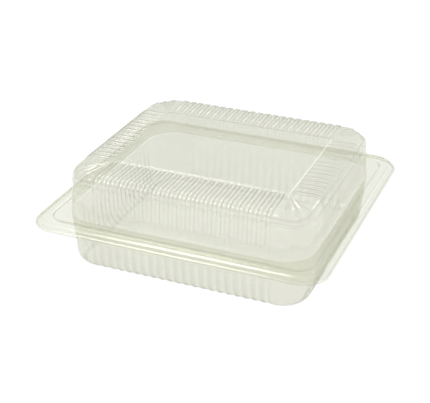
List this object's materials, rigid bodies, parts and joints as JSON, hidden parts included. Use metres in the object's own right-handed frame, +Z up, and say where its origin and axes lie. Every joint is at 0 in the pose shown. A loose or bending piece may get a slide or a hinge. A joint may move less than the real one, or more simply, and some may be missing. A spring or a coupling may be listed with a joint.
{
  "type": "hinged clear plastic food container",
  "caption": "Clear thermoformed clamshell container with a fluted tray and a domed, ribbed lid that share a wide flat rim and open at the front on a living hinge",
  "frame": {"origin": "centre of the underside that the tray stands on", "axes": "+Z up, +X along the front edge to the right, +Y from the opening front to the hinge at the back"},
  "size_m": [0.2, 0.19, 0.0675],
  "materials": {
    "clear_sheet": "clear thin styrene sheet with a faint green-grey tint and a high gloss",
    "clear_lid_sheet": "clear thin styrene sheet with a faint green-grey tint and a high gloss"
  },
  "bodies": {
    "tray_half": {"tray": "clear_sheet", "hinge_strip": "clear_sheet"},
    "lid_half": {"lid": "clear_lid_sheet"}
  },
  "joints": [
    {"name": "lid_hinge", "type": "hinge", "parent": "tray_half", "child": "lid_half", "pos_m": [0, 0.09405, 0.03525], "axis": [-1, 0, 0], "range_deg": [0, 180], "deforming": ["hinge_strip"]}
  ]
}
